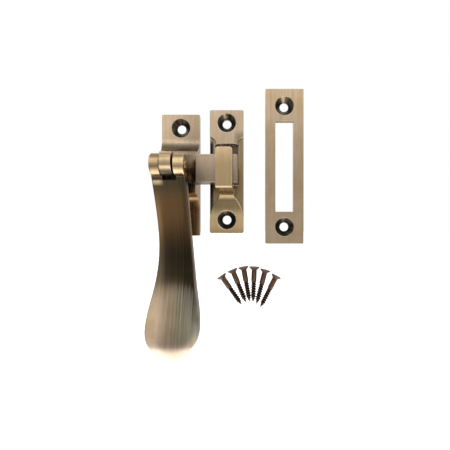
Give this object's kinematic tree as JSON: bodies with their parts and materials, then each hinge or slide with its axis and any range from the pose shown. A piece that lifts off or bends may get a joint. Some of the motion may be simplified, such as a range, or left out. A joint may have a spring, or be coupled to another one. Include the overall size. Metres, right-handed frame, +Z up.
{
  "type": "cockspur window handle",
  "caption": "Casement window fastener: flip-over pear-drop handle on a turning spur and back plate, with hook plate, mortice plate and loose wood screws.",
  "frame": {"origin": "turning axis of the spur where it meets the window surface", "axes": "+Z up the window, fronts face -Y, +X along the spur towards the frame"},
  "size_m": [0.0759, 0.0353, 0.1313],
  "materials": {
    "antique_brass": "brushed and aged, lacquered",
    "bronzed_screw": "dark bronzed, threaded",
    "brass_washer": "plain",
    "steel": "zinc plated",
    "dark_steel": "oiled spring steel"
  },
  "bodies": {
    "fixed_plates": {"back_plate": "antique_brass", "hub_thrust_washer": "brass_washer", "pivot_spring_washer": "steel", "hook_plate": "antique_brass", "mortice_plate": "antique_brass", "wood_screw_1": "bronzed_screw", "wood_screw_2": "bronzed_screw", "wood_screw_3": "bronzed_screw", "wood_screw_4": "bronzed_screw", "wood_screw_5": "bronzed_screw", "wood_screw_6": "bronzed_screw"},
    "spur": {"spur": "antique_brass", "pivot_screw": "steel", "pivot_flat_washer": "steel", "knuckle_spring_washer": "dark_steel"},
    "handle": {"handle": "antique_brass", "knuckle_pin": "antique_brass"}
  },
  "joints": [
    {"name": "spur_turn", "type": "hinge", "parent": "fixed_plates", "child": "spur", "pos_m": [0, 0, 0], "axis": [0, -1, 0], "range_deg": [0, 42]},
    {"name": "handle_flip", "type": "hinge", "parent": "spur", "child": "handle", "pos_m": [0, -0.0303, 0], "axis": [-1, 0, 0], "range_deg": [0, 180]}
  ]
}
